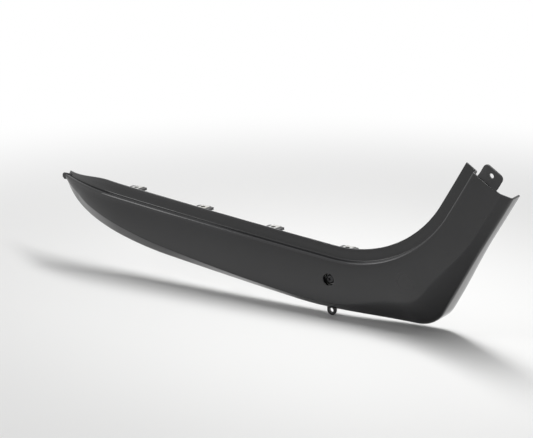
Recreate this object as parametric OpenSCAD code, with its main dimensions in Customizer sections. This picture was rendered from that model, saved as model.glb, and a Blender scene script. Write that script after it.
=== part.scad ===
// Scooter lower side panel: one moulded body under the edge of the floorboard,
// with its spring nuts, side screw and screw collar.
// X runs forward along the scooter, Y runs inwards from the visible face, Z is up.
// The origin is on the side screw's axis, where its free thread starts behind the seat face.

/* [Outline] */
// top edge from the rear tip to the start of the front bend
top_run = 461; // [440:1:500]
// fall of the top edge towards the front, in degrees
top_slope = 5; // [3:0.5:7]
// radius of the front bend, along the top edge
bend_radius = 186; // [170:1:200]
// turn of the front bend, in degrees
bend_turn = 63; // [56:1:68]
// straight top edge above the bend, up the leg shield
horn_run = 71; // [55:1:100]
// width of the band where it runs up the leg shield
horn_width = 57; // [50:1:66]
// radius of the heel under the front bend
heel_radius = 42; // [30:1:60]
// fall of the straight lower edge, in degrees
belly_slope = 6.5; // [5.5:0.5:7.5]
// length of the straight lower edge
belly_line = 205; // [160:5:230]
// radius of the long curve along the belly
belly_radius = 600; // [450:10:750]
// height of the blunt rear tip
tail_height = 10; // [9:0.5:14]
// steepness of the lower edge at the rear tip, in degrees
tail_slope = 52; // [44:1:58]
// radius of the first curve behind the rear tip
tail_radius = 130; // [110:1:160]
// radius of the slow curve after it
sweep_radius = 600; // [450:10:800]
// distance from the side screw back to the rear tip
screw_to_tip = 458; // [430:1:490]
// height of the top edge above the side screw
screw_below_top = 28.5; // [24:0.5:32]

/* [Section] */
// wall of the moulding
wall = 2.5; // [2:0.1:3]
// height of the flange that stands up behind the floorboard
upstand = 16; // [12:0.5:20]
// ledge from the face in to that flange
ledge = 8; // [7:0.5:11]
// radius of the top edge of the face
top_round = 3.5; // [3:0.1:5]
// how far the face bulges out
bulge = 2; // [0.5:0.1:3]
// how far the face leans in at its lower edge
lean = 3; // [1:0.1:5]
// height of the slanted lower edge along the belly
bevel_height = 9; // [7:0.5:12]
// depth of the slanted lower edge along the belly
bevel_depth = 12; // [9:0.5:15]
// height of the rolled edge at the heel
heel_height = 36; // [26:1:44]
// depth of the rolled edge at the heel
heel_depth = 24; // [18:1:30]
// width of the flange that turns in at the bottom of the belly
return_width = 20; // [16:0.5:26]

/* [Plan] */
// how far the rear tip is tucked in
tail_tuck = 23; // [15:0.5:28]
// length of the tucked part
tuck_run = 115; // [90:1:140]
// how far the ends lie behind the middle, over 200 mm
bow = 3; // [1:0.1:5]
// how far the leg shield end flares outwards
flare = 27; // [15:1:35]

/* [Side screw] */
// thread diameter of the side screw
screw_d = 6; // [5:0.5:6.5]
// head diameter
screw_head_d = 12; // [11:0.5:12.5]
// head height
screw_head_h = 4; // [3.5:0.1:4.5]
// length of the shank under the head
screw_length = 18; // [14:1:25]
// diameter of the plain neck inside the collar
screw_neck_d = 5.2; // [4.8:0.1:5.4]
// distance from the seat face back to the first turn of the thread
thread_start = 0.3; // [0.2:0.05:0.6]
// diameter of the pocket in the face
pocket_d = 16; // [15.5:0.5:19]
// depth of the pocket below the face
pocket_depth = 8; // [6:0.5:10]
// floor of the pocket
pocket_floor = 2.5; // [2:0.1:3]
// wall of the collar's sleeve
collar_wall = 1; // [0.8:0.1:1.2]
// thickness of the collar's flange
collar_flange = 1.2; // [1:0.1:1.6]
// diameter of the collar's flange
collar_flange_d = 14.5; // [13:0.5:15]
// play between screw and collar, on the radius
screw_play = 0.25; // [0.15:0.05:0.4]
// play between collar and pocket floor, on the radius
collar_play = 0.15; // [0.1:0.05:0.3]

/* [Floor tabs] */
// width of a tab
tab_width = 25; // [20:1:28]
// how far a tab reaches inwards from the flange
tab_reach = 22; // [20:0.5:26]
// thickness of a tab
tab_thick = 3; // [2.5:0.1:3.5]
// distance between neighbouring tabs
tab_pitch = 114; // [100:1:120]
// distance of the foremost tab ahead of the start of the front bend
tab_lead = 12; // [0:1:16]
// distance from the top of the flange down to a tab
tab_drop = 4; // [3:0.5:6]
// clearance hole through a tab
tab_hole_d = 9.5; // [9:0.1:10.5]

/* [Spring nuts] */
// thread core diameter of a spring nut
nut_core_d = 4.2; // [4:0.1:4.5]
// width of a spring nut
nut_width = 13; // [12:0.5:15]
// length of a spring nut over the tab
nut_length = 17; // [15:0.5:19]
// sheet of a spring nut
nut_sheet = 0.8; // [0.6:0.1:1]
// height of the threaded neck
nut_neck = 3.2; // [2.5:0.1:4]
// diameter of the threaded neck
nut_neck_d = 7; // [6.5:0.1:7.5]
// how far the open ends of a spring nut flare
nut_lip = 1; // [0.6:0.1:1.4]
// room round the screw in the upper leaf of a spring nut
nut_room = 1.2; // [0.8:0.1:1.6]

/* [Fixings] */
// hole in the tongue under the leg shield
tongue_hole_d = 6.5; // [6:0.1:7]
// how far the tongue reaches past the end of the face
tongue_reach = 20; // [17:1:24]
// width of the tongue
tongue_width = 30; // [24:1:34]
// step of the tongue behind the face
tongue_step = 3.2; // [3:0.1:4]
// outer diameter of the eye under the belly
eye_d = 13.5; // [12:0.5:15]
// hole in that eye
eye_hole_d = 6; // [5:0.1:6.5]
// distance of the eye ahead of the side screw
eye_lead = -8; // [-14:1:-4]
// distance of the eye behind the lower corner of the section
eye_in = 6; // [4:0.5:10]
// length of the hook behind the rear tip
hook_length = 14; // [10:1:18]

/* [Ribs] */
// thickness of a rib
rib_thick = 1.8; // [1.5:0.1:2.2]
// depth of a rib behind the face
rib_depth = 9; // [6:0.5:12]

/* [Hidden] */
$fn = 48;

black = [0.05, 0.05, 0.055];
zinc = [0.62, 0.62, 0.6];

// Distances along the top edge, from the rear tip
bend_run = bend_radius * bend_turn * PI / 180;
bend_start = top_run;
bend_end = top_run + bend_run;
full_run = bend_end + horn_run;
horn_slope = bend_turn - top_slope;
tip = [-screw_to_tip, screw_below_top + screw_to_tip * tan(top_slope)];
screw_run = screw_to_tip / cos(top_slope);
heel_run = bend_start + bend_run * 0.5;
tail_lean = 23;
lean_run = 130;

// A path is a list of pieces, each with its length and its turn in degrees
function heading(dir) = [cos(dir), sin(dir)];
function arc_step(len, turn, dir) =
    turn == 0
    ? len * heading(dir)
    : let (r = len / (turn * PI / 180))
      r * [sin(dir + turn) - sin(dir), cos(dir) - cos(dir + turn)];
function walk(path, d, at, dir, i = 0) =
    i == len(path) - 1 || d <= path[i][0]
    ? let (turn = path[i][1] * d / path[i][0])
      [at + arc_step(d, turn, dir), dir + turn]
    : walk(path, d - path[i][0], at + arc_step(path[i][0], path[i][1], dir),
           dir + path[i][1], i + 1);
function path_length(path, i = 0) = i == len(path) ? 0 : path[i][0] + path_length(path, i + 1);

past_end = 60;
top_path = [[top_run, 0], [bend_run, bend_turn], [horn_run + past_end, 0]];
function top_at(d) = walk(top_path, d, tip, -top_slope);
function down(dir) = [sin(dir), -cos(dir)];
function slant(d) = d < lean_run ? tail_lean * pow(1 - d / lean_run, 2) : 0;
function section_dir(d) = top_at(d)[1] - slant(d);

// The lower edge: two curves behind the tip, a straight, the belly, the heel, the front edge
tail_low = tip + tail_height * down(section_dir(0));
tail_turn = 32;
sweep_turn = tail_slope - tail_turn - belly_slope;
belly_rise = -1.5;
function arc_piece(r, turn) = [r * turn * PI / 180, turn];
function low_path(run) = [
    arc_piece(tail_radius, tail_turn),
    arc_piece(sweep_radius, sweep_turn),
    [belly_line, 0],
    arc_piece(belly_radius, belly_slope + belly_rise),
    [run, 0],
    arc_piece(heel_radius, horn_slope - belly_rise),
    [horn_run + 7 * past_end, 0]
];
low_front = top_at(bend_end)[0] + horn_width * down(horn_slope);
low_probe = low_path(10);
low_probe_end = walk(low_probe, path_length(low_probe) - horn_run - 7 * past_end - 0.001, tail_low, -tail_slope)[0];
front_normal = down(horn_slope);
level_run = 10 + (front_normal * (low_front - low_probe_end))
    / (front_normal * heading(belly_rise));
low_edge = low_path(max(1, level_run));
low_length = path_length(low_edge);

// Height of the section at a place along the top edge, found by halving
function side_of(d, at, dir) =
    let (p = walk(low_edge, d, tail_low, -tail_slope)[0] - at)
    p * heading(dir);
function halve(a, b, at, dir, n) =
    n == 0
    ? (a + b) / 2
    : let (m = (a + b) / 2)
      side_of(m, at, dir) > 0 ? halve(a, m, at, dir, n - 1) : halve(m, b, at, dir, n - 1);
function reach(d) =
    let (at = top_at(d)[0], dir = section_dir(d))
    let (e = halve(0, low_length, at, dir, 26))
    (walk(low_edge, e, tail_low, -tail_slope)[0] - at) * down(dir);

// Smooth change from a to b while t runs from 0 to 1
function ease(t) = let (c = min(1, max(0, t))) c * c * (3 - 2 * c);
function mix(a, b, t) = a + (b - a) * ease(t);
function hump(d) = ease(1 - abs(d - heel_run) / 105);

// Plan of the face: middle, tucked tail and flared leg shield end
function plan(d) =
    bow * pow((d - 240) / 200, 2)
    + (d < tuck_run ? tail_tuck * pow(1 - d / tuck_run, 2) : 0)
    - (d > screw_run ? flare * pow((d - screw_run) / 277, 2) : 0);
seat_y = -thread_start;
face_out = pocket_depth + pocket_floor - seat_y;
function face_y(d) = plan(d) - plan(screw_run) - face_out;

// Sizes of the section along the band
function bevel_h(d, h) =
    min(0.5 * h, mix(18, bevel_height, (d - 60) / 300) + (heel_height - bevel_height) * hump(d)
        + 4 * ease((d - bend_end + 60) / 60));
function bevel_d(d) =
    mix(7, bevel_depth, d / 60) + (heel_depth - bevel_depth) * hump(d);
function return_w(d) = mix(8, return_width, d / 150) + 10 * hump(d);
function upstand_h(d) = mix(5, upstand, d / 90);
function crease_r(d) = 2.5 + 18 * hump(d) + 5 * ease((d - bend_end + 60) / 60);
function lip_r(d) = 3 + 9 * hump(d) + 4 * ease((d - bend_end + 60) / 60);

// Corners of the outer line of the section, from the flange down to the bottom flange
function corners(d) =
    let (h = reach(d), y = face_y(d), bh = bevel_h(d, h), bd = bevel_d(d), fh = h - bh)
    let (b = min(bulge, fh * 0.05))
    [
        [y + ledge, upstand_h(d)],
        [y + ledge, 0],
        [y, 0],
        [y - b * 0.75 + lean * 0.25, -fh * 0.25],
        [y - b + lean * 0.5, -fh * 0.5],
        [y - b * 0.75 + lean * 0.75, -fh * 0.75],
        [y + lean, -fh],
        [y + lean + bd, -h],
        [y + lean + bd + return_w(d), -h + 1]
    ];
function rounds(d) = [0, -1.5, top_round, 0, 0, 0, crease_r(d), lip_r(d), 0];
round_steps = [0, 2, 4, 0, 0, 0, 4, 4, 0];

// Line moved sideways by a distance, with square corners
function unit(v) = v / norm(v);
function left_of(v) = [v.y, -v.x] * -1;
function shifted(pts, off) = [
    for (i = [0 : len(pts) - 1])
        let (a = unit(pts[max(1, i)] - pts[max(1, i) - 1]))
        let (b = unit(pts[min(len(pts) - 1, i + 1)] - pts[min(len(pts) - 1, i + 1) - 1]))
        let (n = unit(left_of(a) + left_of(b)))
        pts[i] + n * off / (n * left_of(a))
];

// Corners turned into arcs of a fixed number of steps
function turn_of(a, b) = acos(min(1, max(-1, a * b)));
function arc_points(p, a, b, r, la, lb, steps) =
    let (turn = turn_of(a, b))
    let (cut = min(abs(r) * tan(turn / 2), 0.45 * la, 0.45 * lb))
    [for (k = [0 : steps])
        let (t = k / steps, s = p - a * cut, e = p + b * cut)
        (1 - t) * (1 - t) * s + 2 * t * (1 - t) * p + t * t * e];
function rounded(pts, r, steps) = [
    for (i = [0 : len(pts) - 1])
        let (before = pts[i] - pts[max(0, i - 1)], after = pts[min(len(pts) - 1, i + 1)] - pts[i])
        each (steps[i] == 0
            ? [pts[i]]
            : arc_points(pts[i], unit(before), unit(after), r[i], norm(before), norm(after), steps[i]))
];
function grown(r, off) = [for (x = r) x == 0 ? 0 : x < 0 ? x - off : max(0.5, x - off)];
function skin_line(d, off) =
    rounded(shifted(corners(d), off), grown(rounds(d), off), round_steps);

// A point of the section plane put in space
function placed(d, p) =
    let (at = top_at(d)[0], dir = section_dir(d))
    [at.x - down(dir).x * p.y, p.x, at.y - down(dir).y * p.y];

// Stations: close together at the tail, in the bend and at the heel
heel_from = bend_start + bend_run * 0.38;
heel_to = bend_start + bend_run * 0.66;
function stations() = [
    0, wall,
    for (i = [1 : 11]) wall + (lean_run - wall) * pow(i / 11, 1.25),
    for (i = [1 : 10]) lean_run + (bend_start - lean_run) * i / 10,
    for (i = [1 : 9]) bend_start + (heel_from - bend_start) * i / 9,
    for (i = [1 : 13]) heel_from + (heel_to - heel_from) * i / 13,
    for (i = [1 : 7]) heel_to + (bend_end - heel_to) * i / 7,
    for (i = [1 : 6]) bend_end + horn_run * i / 6
];

module skin() {
    where = stations();
    n = len(skin_line(0, 0));
    m = len(where);
    points = [
        for (d = where) each [
            for (p = skin_line(d, 0)) placed(d, p),
            for (p = skin_line(d, wall)) placed(d, p)
        ]
    ];
    function out(i, j) = i * 2 * n + j;
    function inn(i, j) = i * 2 * n + n + j;
    quads = [
        for (i = [0 : m - 2], j = [0 : n - 2])
            [out(i, j), out(i + 1, j), out(i + 1, j + 1), out(i, j + 1)],
        for (i = [1 : m - 2], j = [0 : n - 2])
            [inn(i, j), inn(i, j + 1), inn(i + 1, j + 1), inn(i + 1, j)],
        for (i = [0 : m - 2])
            [out(i, n - 1), out(i + 1, n - 1), inn(i + 1, n - 1), inn(i, n - 1)],
        for (i = [0 : m - 2])
            [out(i, 0), inn(i, 0), inn(i + 1, 0), out(i + 1, 0)],
        [inn(0, 0), inn(0, n - 1), inn(1, n - 1), inn(1, 0)]
    ];
    tail_cap = [for (j = [0 : n - 1]) out(0, j), inn(0, n - 1), inn(0, 0)];
    tail_inner = [for (j = [0 : n - 1]) inn(1, n - 1 - j)];
    horn_cap = [for (j = [0 : n - 1]) out(m - 1, n - 1 - j), for (j = [0 : n - 1]) inn(m - 1, j)];
    polyhedron(points, concat(quads, [tail_cap, tail_inner, horn_cap]), convexity = 12);
}

// Local frame of a section: x runs inwards, y runs up the section, z runs along the band
module at_section(d) {
    at = top_at(d)[0];
    dir = section_dir(d);
    multmatrix([
        [0, -sin(dir), cos(dir), at.x],
        [1, 0, 0, 0],
        [0, cos(dir), sin(dir), at.y],
        [0, 0, 0, 1]
    ])
        children();
}

module rib(d) {
    c = corners(d);
    mid = skin_line(d, wall / 2);
    inner_y = c[2].x + wall + rib_depth;
    low = c[7];
    outline = concat(
        [for (i = [3 : len(mid) - 2]) mid[i]],
        [
            [c[8].x - 4, mid[len(mid) - 1].y],
            [low.x + wall + 4, low.y + 9],
            [max(inner_y + lean, low.x - 6), low.y + 9 + bevel_h(d, reach(d)) * 0.6],
            [inner_y, -10],
            [mid[3].x + 1, mid[3].y - 1]
        ]
    );
    at_section(d)
        linear_extrude(rib_thick, center = true)
            polygon(outline);
}

rib_places = [75, 135, 205, 279, 335, 402, 502, 548, 594, 640, 690];

module ribs() {
    for (d = rib_places) rib(d);
}

// Screw pocket, its round boss and the stays that tie it to the face
boss_d = pocket_d + 2 * wall;
collar_d = screw_d + 2 * screw_play + 2 * collar_wall;
floor_hole_d = collar_d + 2 * collar_play;
boss_front = -face_out + wall * 0.5;

module round_y(d, y0, y1) {
    translate([0, y0, 0])
        rotate([-90, 0, 0])
            cylinder(d = d, h = y1 - y0);
}

stay_top = face_out - 4;
function stay_front(a) =
    -face_out + wall * 0.5 - bulge * 0.75 + lean * (a > 180 ? 0.25 : 0.75);

module screw_boss() {
    round_y(boss_d, boss_front, seat_y);
    for (a = [45, 135, 225, 315])
        rotate([0, a, 0])
            translate([boss_d / 2 - 1, stay_front(a), -rib_thick / 2])
                linear_extrude(rib_thick)
                    polygon([[0, 0], [11, 0], [11, 2], [4, stay_top], [0, stay_top]]);
}

// Tabs under the floorboard, level, with a cut-out for the spring nut
function tab_x(i) = tip.x + top_run * cos(top_slope) + tab_lead - i * tab_pitch;
function run_at(x) = (x - tip.x) / cos(top_slope);
function tab_top(i) = tip.y - (tab_x(i) - tip.x) * tan(top_slope) + upstand - tab_drop;
function flange_y(i) = face_y(run_at(tab_x(i))) + ledge;
function tab_end(i) = flange_y(i) + wall + tab_reach;
function nut_y(i) = tab_end(i) - nut_length * 0.55;

// Plate outline from y = 0 to its end, with the two far corners rounded
module round_ended(w, len, r) {
    translate([-w / 2, 0])
        square([w, len - r]);
    translate([r - w / 2, 0])
        square([w - 2 * r, len]);
    for (s = [-1, 1])
        translate([s * (w / 2 - r), len - r])
            circle(r);
}

module tab(i) {
    y0 = flange_y(i) + wall * 0.5;
    translate([tab_x(i), y0, tab_top(i) - tab_thick])
        linear_extrude(tab_thick)
            round_ended(tab_width, tab_end(i) - y0, 3);
    for (s = [-1, 1])
        translate([tab_x(i) + s * (tab_width / 2 - 1.9) - rib_thick / 2, y0, tab_top(i) - tab_thick + 0.8])
            rotate([90, 0, 90])
                linear_extrude(rib_thick)
                    polygon([[0, 0], [14, 0], [3, -9.5], [0, -9.5]]);
}

module tab_hole(i) {
    translate([tab_x(i), nut_y(i), tab_top(i) - tab_thick - 1])
        cylinder(d = tab_hole_d, h = tab_thick + 2);
}

// Eye under the belly for a fixing from the stand cover
eye_run = run_at(eye_lead);
eye_low = walk(low_edge, halve(0, low_length, [eye_lead, 0], 0, 26), tail_low, -tail_slope)[0].y;
eye_y = corners(eye_run)[7].x + eye_in;
eye_z = eye_low - eye_d / 2 + 1;
eye_thick = 3;

module eye_plate() {
    translate([eye_lead, eye_y, eye_z])
        rotate([-90, 0, 0])
            cylinder(d = eye_d, h = eye_thick);
    translate([eye_lead - eye_d / 2, eye_y, eye_z])
        cube([eye_d, eye_thick, eye_d / 2 + 0.4]);
}

module eye_hole() {
    translate([eye_lead, eye_y - 1, eye_z])
        rotate([-90, 0, 0])
            cylinder(d = eye_hole_d, h = eye_thick + 2);
}

// Stepped tongue that goes behind the leg shield
function end_frame() =
    let (a = placed(full_run - 8, [face_y(full_run - 8), 0]), b = placed(full_run, [face_y(full_run), 0]))
    let (t = unit(b - a), v = [-sin(horn_slope) * 1, 0, cos(horn_slope)])
    [b, t, v];

module at_end(across) {
    f = end_frame();
    u = [sin(horn_slope), 0, -cos(horn_slope)];
    t = f[1];
    n = unit(cross(u, t));
    p = f[0] + u * across;
    multmatrix([
        [t.x, u.x, n.x, p.x],
        [t.y, u.y, n.y, p.y],
        [t.z, u.z, n.z, p.z],
        [0, 0, 0, 1]
    ])
        children();
}

tongue_across = 22;
tongue_sunk = 0.9;

module tongue() {
    w0 = wall - tongue_sunk;
    at_end(tongue_across)
        intersection() {
            translate([0, tongue_width / 2, 0])
                rotate([90, 0, 0])
                    linear_extrude(tongue_width)
                        polygon([
                            [-14, -w0], [-1, -w0], [3, -w0 - tongue_step + 1],
                            [tongue_reach, -w0 - tongue_step + 1],
                            [tongue_reach, -w0 - tongue_step - wall + 1],
                            [2, -w0 - tongue_step - wall + 1], [-2, -w0 - wall], [-14, -w0 - wall]
                        ]);
            translate([-20, 0, -20])
                rotate([0, 0, -90])
                    linear_extrude(40)
                        round_ended(tongue_width, tongue_reach + 20, 6);
        }
}

module tongue_hole() {
    at_end(tongue_across)
        translate([tongue_reach - 9, 0, -20])
            cylinder(d = tongue_hole_d, h = 40);
}

// Hook at the rear tip that goes into the tail side cover
module tail_hook() {
    c = corners(6);
    at = placed(6, [c[2].x + ledge * 0.7, -1.5]);
    translate([at.x - hook_length, at.y + 1, at.z - 6])
        cube([hook_length + 6, wall, 9]);
}

module moulded_body() {
    skin();
    ribs();
    screw_boss();
    for (i = [0 : 3]) tab(i);
    eye_plate();
    tongue();
    tail_hook();
}

module side_panel() {
    color(black)
        difference() {
            // one mesh for the body, so that only the round holes are cut from it
            minkowski() {
                moulded_body();
            }
            round_y(pocket_d, -face_out - 6, seat_y - pocket_floor);
            round_y(floor_hole_d, -face_out - 6, 4);
            eye_hole();
            tongue_hole();
            for (i = [0 : 3]) tab_hole(i);
        }
}

module clip_nut(i) {
    g = nut_sheet;
    top = tab_top(i);
    low = top - tab_thick;
    y1 = tab_end(i);
    y0 = y1 - nut_length;
    difference() {
        union() {
            translate([tab_x(i) - nut_width / 2, 0, 0])
                rotate([90, 0, 90])
                    linear_extrude(nut_width)
                        polygon([
                            [y0, top], [y1, top], [y1, low], [y0 + nut_lip, low],
                            [y0 - 1.2 * nut_lip, low - nut_lip], [y0 - nut_lip, low - g - nut_lip],
                            [y0 + nut_lip, low - g],
                            [y1 + g * 0.6, low - g], [y1 + g, low - g * 0.6],
                            [y1 + g, top + g * 0.6], [y1 + g * 0.6, top + g],
                            [y0, top + g], [y0 - 1.6 * nut_lip, top + g + nut_lip],
                            [y0 - 1.9 * nut_lip, top + nut_lip]
                        ]);
            translate([tab_x(i), nut_y(i), low - g - nut_neck])
                cylinder(d = nut_neck_d, h = nut_neck + g * 0.5);
        }
        translate([tab_x(i), nut_y(i), low - g - nut_neck - 1])
            cylinder(d = nut_core_d, h = nut_neck + g + 2);
        translate([tab_x(i), nut_y(i), top - 1])
            cylinder(d = nut_core_d + 2 * nut_room, h = g + 3);
    }
}

module clip_nuts() {
    color(zinc)
        for (i = [0 : 3]) clip_nut(i);
}

head_seat = seat_y - pocket_floor - collar_flange;

module screw_recess() {
    for (a = [0, 90])
        rotate([0, a, 0])
            translate([-3.2, head_seat - screw_head_h - 1, -0.6])
                cube([6.4, 3.2, 1.2]);
}

module side_screw() {
    color(black)
        difference() {
            translate([0, head_seat, 0])
                rotate([-90, 0, 0])
                    rotate_extrude()
                        polygon([
                            [0, -screw_head_h], [screw_head_d * 0.28, -screw_head_h],
                            [screw_head_d * 0.4, -screw_head_h * 0.86],
                            [screw_head_d * 0.47, -screw_head_h * 0.62],
                            [screw_head_d / 2, -screw_head_h * 0.34],
                            [screw_head_d / 2, 0], [screw_neck_d / 2, 0],
                            [screw_neck_d / 2, -head_seat], [screw_d / 2, -head_seat],
                            [screw_d / 2, screw_length - 1], [screw_d / 2 - 1, screw_length],
                            [0, screw_length]
                        ]);
            screw_recess();
        }
}

module screw_collar() {
    bore = screw_d / 2 + screw_play;
    sleeve = collar_d / 2;
    color(zinc)
        rotate([-90, 0, 0])
            rotate_extrude()
                polygon([
                    [bore, head_seat], [collar_flange_d / 2, head_seat],
                    [collar_flange_d / 2, seat_y - pocket_floor], [sleeve, seat_y - pocket_floor],
                    [sleeve, seat_y], [bore, seat_y]
                ]);
}

side_panel();
clip_nuts();
side_screw();
screw_collar();
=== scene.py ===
import bpy
import math
from mathutils import Matrix, Vector


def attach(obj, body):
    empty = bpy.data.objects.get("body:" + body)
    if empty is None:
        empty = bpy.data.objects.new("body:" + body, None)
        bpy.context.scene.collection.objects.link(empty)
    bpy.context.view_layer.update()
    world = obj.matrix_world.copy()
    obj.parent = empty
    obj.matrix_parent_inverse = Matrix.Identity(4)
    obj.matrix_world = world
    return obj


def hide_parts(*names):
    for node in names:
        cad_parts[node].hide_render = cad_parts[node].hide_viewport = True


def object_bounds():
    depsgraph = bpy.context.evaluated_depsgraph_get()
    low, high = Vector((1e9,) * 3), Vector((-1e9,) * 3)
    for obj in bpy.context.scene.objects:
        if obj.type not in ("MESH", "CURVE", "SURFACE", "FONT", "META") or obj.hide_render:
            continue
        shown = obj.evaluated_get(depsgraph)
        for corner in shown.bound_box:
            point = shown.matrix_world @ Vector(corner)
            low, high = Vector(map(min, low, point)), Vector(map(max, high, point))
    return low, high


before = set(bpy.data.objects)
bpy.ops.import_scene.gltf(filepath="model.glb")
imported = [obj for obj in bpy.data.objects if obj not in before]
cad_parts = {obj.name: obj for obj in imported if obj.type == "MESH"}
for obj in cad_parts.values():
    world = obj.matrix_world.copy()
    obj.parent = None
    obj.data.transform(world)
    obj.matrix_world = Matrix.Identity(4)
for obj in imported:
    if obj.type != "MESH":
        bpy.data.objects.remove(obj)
CAD_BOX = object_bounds()

# Sizes, in millimetres

# outline of the panel: top edge, lower edge, tail, place of the side screw
TOP_RUN, TOP_SLOPE = 461.0, 5.0
BEND_RADIUS, BEND_TURN = 186.0, 63.0
HORN_RUN, HORN_WIDTH = 71.0, 57.0
HEEL_RADIUS = 42.0
BELLY_SLOPE, BELLY_LINE = 6.5, 205.0
BELLY_RADIUS, BELLY_RISE = 600.0, -1.5
TAIL_HEIGHT, TAIL_SLOPE = 10.0, 52.0
TAIL_TURN, TAIL_RADIUS, SWEEP_RADIUS = 32.0, 130.0, 600.0
TAIL_LEAN, LEAN_RUN = 23.0, 130.0
SCREW_TO_TIP, SCREW_BELOW_TOP = 458.0, 28.5
PAST_END, LOW_PAST_END = 60.0, 400.0

# section: flange, ledge, face, slanted lower edge, bottom flange
WALL, UPSTAND, LEDGE = 2.5, 16.0, 8.0
TOP_ROUND, BULGE, LEAN = 3.5, 2.0, 3.0
FOOT_ROUND, BEVEL_ROUND, BELLY_ROUND, LEAST_ROUND = 1.5, 2.5, 3.0, 0.5
HEEL_BEVEL_ROUND, HEEL_BELLY_ROUND, HORN_BEVEL_ROUND, HORN_BELLY_ROUND = 18.0, 9.0, 5.0, 4.0
BEVEL_HEIGHT, BEVEL_DEPTH = 9.0, 12.0
HEEL_HEIGHT, HEEL_DEPTH = 36.0, 24.0
RETURN_WIDTH, HEEL_RETURN = 20.0, 10.0
TAIL_BEVEL_HEIGHT, TAIL_BEVEL_DEPTH, TAIL_RETURN, TAIL_UPSTAND = 18.0, 7.0, 8.0, 5.0
HUMP_RUN, HORN_BLEND, HORN_BEVEL = 105.0, 60.0, 4.0
BEVEL_FROM, BEVEL_BLEND, DEPTH_BLEND, RETURN_BLEND, UPSTAND_BLEND = 60.0, 300.0, 60.0, 150.0, 90.0

# plan, seen from above
TAIL_TUCK, TUCK_RUN = 23.0, 115.0
BOW, BOW_MIDDLE, BOW_RUN = 3.0, 240.0, 200.0
FLARE, FLARE_RUN = 27.0, 277.0

# side screw, its pocket and its collar
THREAD_START, POCKET_D, POCKET_DEPTH, POCKET_FLOOR = 0.3, 16.0, 8.0, 2.5
SCREW_D, HEAD_H, SCREW_LENGTH, NECK_D = 6.0, 4.0, 18.0, 5.2
SCREW_ROOT_R, SCREW_PITCH, SCREW_TURNS = 2.46, 1.0, 12.4
RECESS_SPAN, RECESS_DEPTH, RECESS_WIDTH, RECESS_TURN = 6.4, 3.0, 1.3, 20
COLLAR_WALL, COLLAR_FLANGE, COLLAR_FLANGE_D = 1.0, 1.2, 14.5
BOSS_STAY_REACH, BOSS_STAY_TOP, BOSS_STAY_FOOT = 11.0, 4.0, 2.0
SCREW_PLAY, COLLAR_PLAY = 0.25, 0.15

# floor tabs and their spring nuts
TABS = 4
TAB_WIDTH, TAB_REACH, TAB_THICK = 25.0, 22.0, 3.0
TAB_PITCH, TAB_LEAD, TAB_DROP, TAB_HOLE_D = 114.0, 12.0, 4.0, 9.5
STAY_FROM_SIDE, STAY_REACH, STAY_FOOT, STAY_HEIGHT = 1.9, 14.0, 3.0, 9.5
NUT_CORE_D, NUT_WIDTH, NUT_LENGTH, NUT_SHEET = 4.2, 13.0, 17.0, 0.8
NUT_NECK, NUT_NECK_D, NUT_MIDDLE, NUT_BEND = 3.2, 7.0, 0.55, 0.9
NUT_PITCH, NUT_TURNS = 0.8, 4.0

# tongue, eye, hook and ribs
TONGUE_HOLE_D, TONGUE_REACH, TONGUE_WIDTH = 6.5, 20.0, 30.0
TONGUE_STEP, TONGUE_ACROSS, TONGUE_SUNK = 3.2, 22.0, 0.9
TONGUE_HOLE_IN, TONGUE_CORNER, TONGUE_RUN_IN, TONGUE_ROOT = 9.0, 6.0, 20.0, 14.0
EYE_D, EYE_HOLE_D, EYE_THICK = 13.5, 6.0, 3.0
EYE_LEAD, EYE_IN = -8.0, 6.0
HOOK_LENGTH, HOOK_FROM_TAIL = 14.0, 6
RIB_THICK, RIB_DEPTH, RIB_FOOT, RIB_BELOW_TOP = 1.8, 9.0, 9.0, 10.0
RIB_PLACES = (75, 135, 205, 279, 335, 402, 502, 548, 594, 640, 690)


# The panel's lines

def heading(turn):
    return Vector((math.cos(math.radians(turn)), math.sin(math.radians(turn))))


def down(turn):
    return Vector((math.sin(math.radians(turn)), -math.cos(math.radians(turn))))


def walk(path, d, at, turn):
    """Point and heading after a distance along a path of (length, turn) pieces."""
    for i, (length, bend) in enumerate(path):
        last = i == len(path) - 1 or d <= length
        run = d if last else length
        part = bend * run / length
        if bend:
            r = run / math.radians(part) if part else 0
            a, b = math.radians(turn), math.radians(turn + part)
            at = at + r * Vector((math.sin(b) - math.sin(a), math.cos(a) - math.cos(b)))
        else:
            at = at + run * heading(turn)
        turn += part
        if last:
            return at, turn
        d -= length


def arc_piece(radius, bend):
    return radius * math.radians(bend), bend


BEND_RUN = math.radians(BEND_TURN) * BEND_RADIUS
BEND_END = TOP_RUN + BEND_RUN
FULL_RUN = BEND_END + HORN_RUN
HORN_SLOPE = BEND_TURN - TOP_SLOPE
TIP = Vector((-SCREW_TO_TIP, SCREW_BELOW_TOP + SCREW_TO_TIP * math.tan(math.radians(TOP_SLOPE))))
SCREW_RUN = SCREW_TO_TIP / math.cos(math.radians(TOP_SLOPE))
HEEL_RUN = TOP_RUN + BEND_RUN * 0.5
FACE_OUT = POCKET_DEPTH + POCKET_FLOOR + THREAD_START
TOP_PATH = [(TOP_RUN, 0), (BEND_RUN, BEND_TURN), (HORN_RUN + PAST_END, 0)]


def top_at(d):
    return walk(TOP_PATH, d, TIP, -TOP_SLOPE)


def section_dir(d):
    lean = TAIL_LEAN * (1 - d / LEAN_RUN) ** 2 if d < LEAN_RUN else 0
    return top_at(d)[1] - lean


TAIL_LOW = TIP + TAIL_HEIGHT * down(section_dir(0))


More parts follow.
